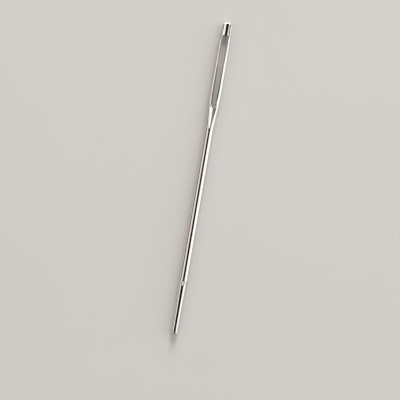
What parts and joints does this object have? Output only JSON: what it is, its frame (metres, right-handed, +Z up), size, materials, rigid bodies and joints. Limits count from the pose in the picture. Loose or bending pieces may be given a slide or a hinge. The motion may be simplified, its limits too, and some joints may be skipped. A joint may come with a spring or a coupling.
{
  "type": "yarn needle",
  "caption": "Straight blunt-tipped yarn needle in polished steel wire, with a long open eye in a flattened head and a gutter pressed into each face above and below the eye.",
  "frame": {"origin": "on the surface that the needle lies on, under the middle of its length and on its centre line", "axes": "+X along the needle towards its blunt tip, Y across the width of the eye, +Z up, out of the eye's upper face"},
  "size_m": [0.07, 0.0028, 0.0021],
  "materials": {
    "nickel_plated_steel": "polished nickel plating"
  },
  "bodies": {
    "root": {"head_end": "nickel_plated_steel", "left_eye_bar": "nickel_plated_steel", "right_eye_bar": "nickel_plated_steel", "neck": "nickel_plated_steel", "shaft": "nickel_plated_steel", "point": "nickel_plated_steel"}
  },
  "joints": []
}
